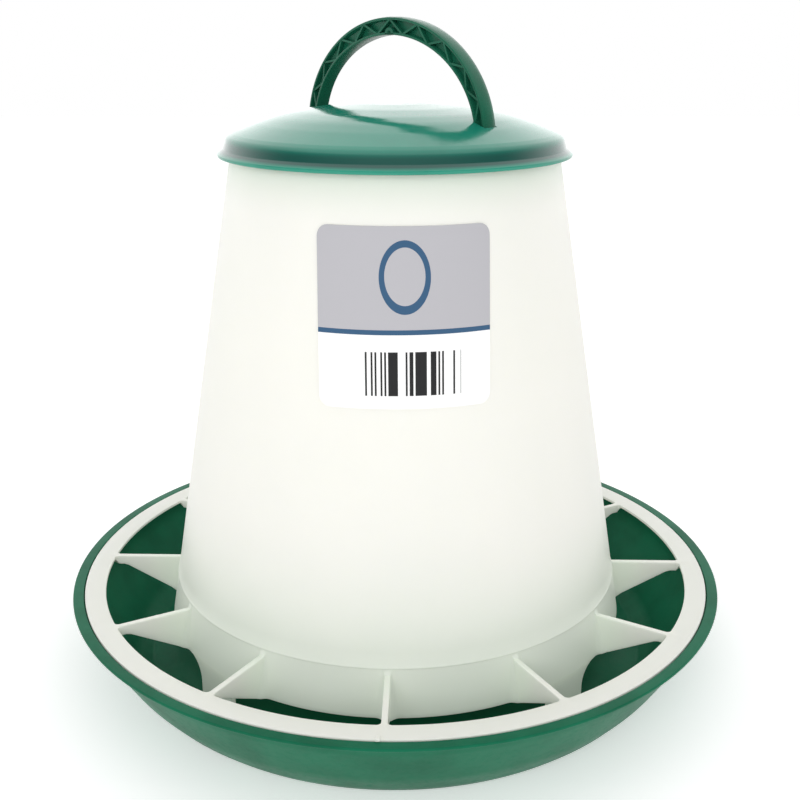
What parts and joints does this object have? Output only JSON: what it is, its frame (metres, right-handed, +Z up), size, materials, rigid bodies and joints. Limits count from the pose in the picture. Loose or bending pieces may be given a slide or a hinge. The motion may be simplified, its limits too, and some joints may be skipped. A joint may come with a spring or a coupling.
{
  "type": "gravity poultry feeder",
  "caption": "Round tray with a translucent conical feed hopper, a spoked feeding grille, a domed lift-off lid and an arched carrying handle.",
  "frame": {"origin": "centre of the tray's underside, on the surface that the feeder stands on", "axes": "+Z up along the feeder's axis, -Y towards the front where the label is, +X to the right seen from the front"},
  "size_m": [0.27, 0.27, 0.258],
  "materials": {
    "tray_green": "injection-moulded dark green polypropylene, satin gloss",
    "hopper_white": "milky translucent natural polypropylene, satin",
    "lid_green": "injection-moulded green polypropylene, smooth gloss",
    "handle_green": "injection-moulded dark green polypropylene, satin gloss",
    "label_paper": "printed adhesive label, smooth"
  },
  "bodies": {
    "tray": {"tray": "tray_green"},
    "hopper": {"hopper_shell": "hopper_white", "grille_ring": "hopper_white", "grille_web_01": "hopper_white", "grille_web_02": "hopper_white", "grille_web_03": "hopper_white", "grille_web_04": "hopper_white", "grille_web_05": "hopper_white", "grille_web_06": "hopper_white", "grille_web_07": "hopper_white", "grille_web_08": "hopper_white", "grille_web_09": "hopper_white", "grille_web_10": "hopper_white", "grille_web_11": "hopper_white", "grille_web_12": "hopper_white", "hopper_leg_01": "hopper_white", "hopper_leg_02": "hopper_white", "hopper_leg_03": "hopper_white", "hopper_leg_04": "hopper_white", "label": "label_paper"},
    "lid": {"lid": "lid_green", "handle": "handle_green"}
  },
  "joints": [
    {"name": "hopper_lift", "type": "slide", "parent": "tray", "child": "hopper", "axis": [0, 0, 1], "range_m": [0, 0.06]},
    {"name": "lid_lift", "type": "slide", "parent": "hopper", "child": "lid", "axis": [0, 0, 1], "range_m": [0, 0.04]}
  ]
}
